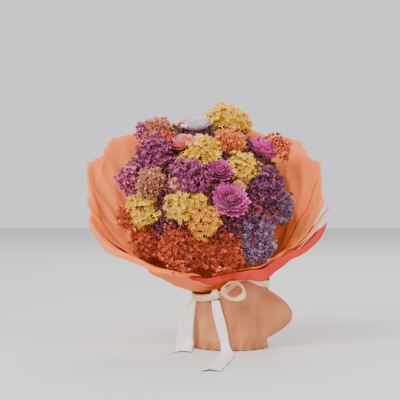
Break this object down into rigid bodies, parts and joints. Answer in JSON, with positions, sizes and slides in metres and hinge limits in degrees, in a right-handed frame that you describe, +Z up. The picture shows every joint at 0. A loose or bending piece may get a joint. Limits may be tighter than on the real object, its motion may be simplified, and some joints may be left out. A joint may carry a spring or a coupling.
{
  "type": "mixed flower bouquet",
  "caption": "Hand-tied bouquet of dried flowers on cut stems, in a flared paper wrap and a plain paper sleeve with a satin ribbon bow; it stands on its foot.",
  "frame": {"origin": "on the standing surface, under the middle of the bouquet's bounding box", "axes": "+Z up, -Y towards the front that the flowers face, +X to the right seen from the front"},
  "size_m": [0.2606, 0.269, 0.2618],
  "materials": {
    "flower_cream": "matte",
    "flower_lavender": "matte",
    "flower_magenta": "matte",
    "flower_peach": "matte",
    "flower_pink": "matte",
    "flower_plum": "matte",
    "flower_rust": "matte",
    "flower_tan": "matte",
    "flower_violet": "matte",
    "flower_white": "matte",
    "flower_yellow": "matte",
    "kraft_paper": "matte",
    "orange_paper": "matte",
    "ribbon": "satin",
    "stem": "matte",
    "twine": "matte"
  },
  "bodies": {
    "root": {"binding_twine": "twine", "daisy_yellow_top": "flower_yellow", "kraft_sleeve": "kraft_paper", "ribbon_band": "ribbon", "ribbon_bow_loop": "ribbon", "ribbon_knot": "ribbon", "ribbon_tail_left": "ribbon", "ribbon_tail_right": "ribbon", "statice_cream": "flower_cream", "statice_lavender_front": "flower_lavender", "statice_lavender_right": "flower_lavender", "statice_magenta": "flower_magenta", "statice_peach": "flower_peach", "statice_plum": "flower_plum", "statice_rust_left": "flower_rust", "statice_rust_middle": "flower_rust", "statice_rust_right": "flower_rust", "statice_tan": "flower_tan", "statice_violet_left": "flower_violet", "statice_violet_middle": "flower_violet", "statice_yellow_left": "flower_yellow", "statice_yellow_low": "flower_yellow", "statice_yellow_middle": "flower_yellow", "statice_yellow_right": "flower_yellow", "statice_yellow_upper": "flower_yellow", "stem_daisy_yellow_top": "stem", "stem_statice_cream": "stem", "stem_statice_lavender_front": "stem", "stem_statice_lavender_right": "stem", "stem_statice_magenta": "stem", "stem_statice_peach": "stem", "stem_statice_plum": "stem", "stem_statice_rust_left": "stem", "stem_statice_rust_middle": "stem", "stem_statice_rust_right": "stem", "stem_statice_tan": "stem", "stem_statice_violet_left": "stem", "stem_statice_violet_middle": "stem", "stem_statice_yellow_left": "stem", "stem_statice_yellow_low": "stem", "stem_statice_yellow_middle": "stem", "stem_statice_yellow_right": "stem", "stem_statice_yellow_upper": "stem", "stem_strawflower_magenta_front": "stem", "stem_strawflower_magenta_middle": "stem", "stem_strawflower_magenta_right": "stem", "stem_strawflower_pink": "stem", "stem_strawflower_white": "stem", "strawflower_magenta_front": "flower_magenta", "strawflower_magenta_middle": "flower_magenta", "strawflower_magenta_right": "flower_magenta", "strawflower_pink": "flower_pink", "strawflower_white": "flower_white", "wrap_sheet_back": "orange_paper", "wrap_sheet_front_flap": "orange_paper", "wrap_sheet_front_left": "orange_paper", "wrap_sheet_front_right": "orange_paper", "wrap_sheet_left": "orange_paper", "wrap_sheet_right": "orange_paper"}
  },
  "joints": []
}
